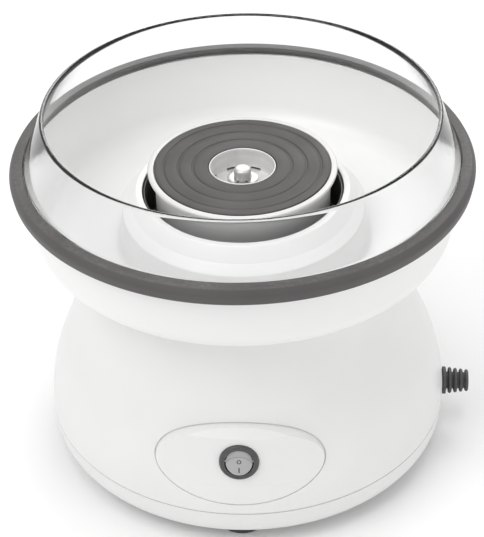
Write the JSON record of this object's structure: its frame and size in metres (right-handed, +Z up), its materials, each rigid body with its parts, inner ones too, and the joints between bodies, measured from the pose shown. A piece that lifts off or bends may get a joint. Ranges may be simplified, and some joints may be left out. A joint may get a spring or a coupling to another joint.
{
  "type": "cotton candy machine",
  "caption": "Table-top cotton candy machine: round base with motor and heater, lift-off bowl, clear guard, spinning sugar head and rocker switch.",
  "frame": {"origin": "on the machine's vertical axis, on the surface that the feet stand on", "axes": "+Z up along the spindle; -Y out of the front, where the switch is; +X towards the cord gland"},
  "size_m": [0.2844, 0.2798, 0.236],
  "materials": {
    "shell_white": "moulded, satin gloss",
    "bowl_white": "moulded, satin gloss",
    "rim_dark": "matt moulded",
    "clear_guard": "clear polished plastic",
    "foot_rubber": "soft matt",
    "gland_rubber": "matt moulded",
    "bezel_dark": "satin",
    "rocker_grey": "satin",
    "head_metal": "spun, satin",
    "disc_dark": "dark hard coating",
    "cup_metal": "satin",
    "hub_metal": "turned",
    "clip_steel": "bright",
    "well_dark": "heat resistant matt",
    "fastener_steel": "zinc plated",
    "motor_steel": "plated",
    "black_plastic": "moulded",
    "magnet": "ferrite",
    "laminations": "stacked sheet",
    "copper": "enamelled wire",
    "brass": "drawn",
    "carbon": "pressed carbon",
    "bearing_bronze": "sintered",
    "mount_rubber": "soft",
    "board_green": "circuit board",
    "capacitor_sleeve": "sleeved can",
    "nylon_white": "moulded",
    "ceramic": "fired",
    "heater_sheath": "heat tinted",
    "insulation": "pressed board",
    "shield_steel": "sheet",
    "fan_plastic": "moulded"
  },
  "bodies": {
    "base": {"top_shell": "shell_white", "bottom_pan": "shell_white", "front_panel": "shell_white", "housing_screws": "fastener_steel", "foot_front": "foot_rubber", "foot_right": "foot_rubber", "foot_rear": "foot_rubber", "foot_left": "foot_rubber", "switch_bezel": "bezel_dark", "switch_pivot": "fastener_steel", "switch_terminals": "brass", "strain_relief": "gland_rubber", "cord_clamp": "nylon_white", "cord_clamp_screws": "fastener_steel", "control_board": "board_green", "board_capacitor": "capacitor_sleeve", "board_rectifier": "black_plastic", "board_screws": "fastener_steel", "terminal_block": "nylon_white", "terminal_screws": "fastener_steel", "motor_can": "motor_steel", "motor_magnets": "magnet", "motor_end_cap": "black_plastic", "upper_bearing": "bearing_bronze", "lower_bearing": "bearing_bronze", "brush_holders": "brass", "brushes": "carbon", "motor_bracket": "shield_steel", "motor_screws": "fastener_steel", "rubber_mounts": "mount_rubber", "bracket_screws": "fastener_steel", "heater_pan": "well_dark", "insulation_ring": "insulation", "heater_ring": "heater_sheath", "heater_bushes": "ceramic", "heater_holders": "ceramic", "heat_shield": "shield_steel", "heater_screws": "fastener_steel", "heater_nuts": "fastener_steel", "thermal_fuse": "cup_metal"},
    "rocker": {"switch_rocker": "rocker_grey"},
    "spindle": {"motor_shaft": "hub_metal", "armature": "laminations", "armature_windings": "copper", "commutator": "copper", "cooling_fan": "fan_plastic", "drive_pin": "hub_metal"},
    "bowl": {"catch_bowl": "bowl_white", "rim_ring": "rim_dark"},
    "guard": {"splash_guard": "clear_guard"},
    "head": {"head_pan": "head_metal", "head_disc": "disc_dark", "sugar_cup": "cup_metal", "head_hub": "hub_metal", "hub_clip": "clip_steel", "head_spacers": "cup_metal"}
  },
  "joints": [
    {"name": "rocker_tilt", "type": "hinge", "parent": "base", "child": "rocker", "pos_m": [0, -0.12141, 0.06639], "axis": [1, 0, 0], "range_deg": [0, 16]},
    {"name": "spindle_spin", "type": "hinge", "parent": "base", "child": "spindle", "pos_m": [0, 0, 0.1], "axis": [0, 0, 1], "continuous": true},
    {"name": "head_lift", "type": "slide", "parent": "spindle", "child": "head", "axis": [0, 0, 1], "range_m": [0, 0.045]},
    {"name": "bowl_lift", "type": "slide", "parent": "base", "child": "bowl", "axis": [0, 0, 1], "range_m": [0, 0.1]},
    {"name": "guard_lift", "type": "slide", "parent": "bowl", "child": "guard", "axis": [0, 0, 1], "range_m": [0, 0.05]}
  ]
}
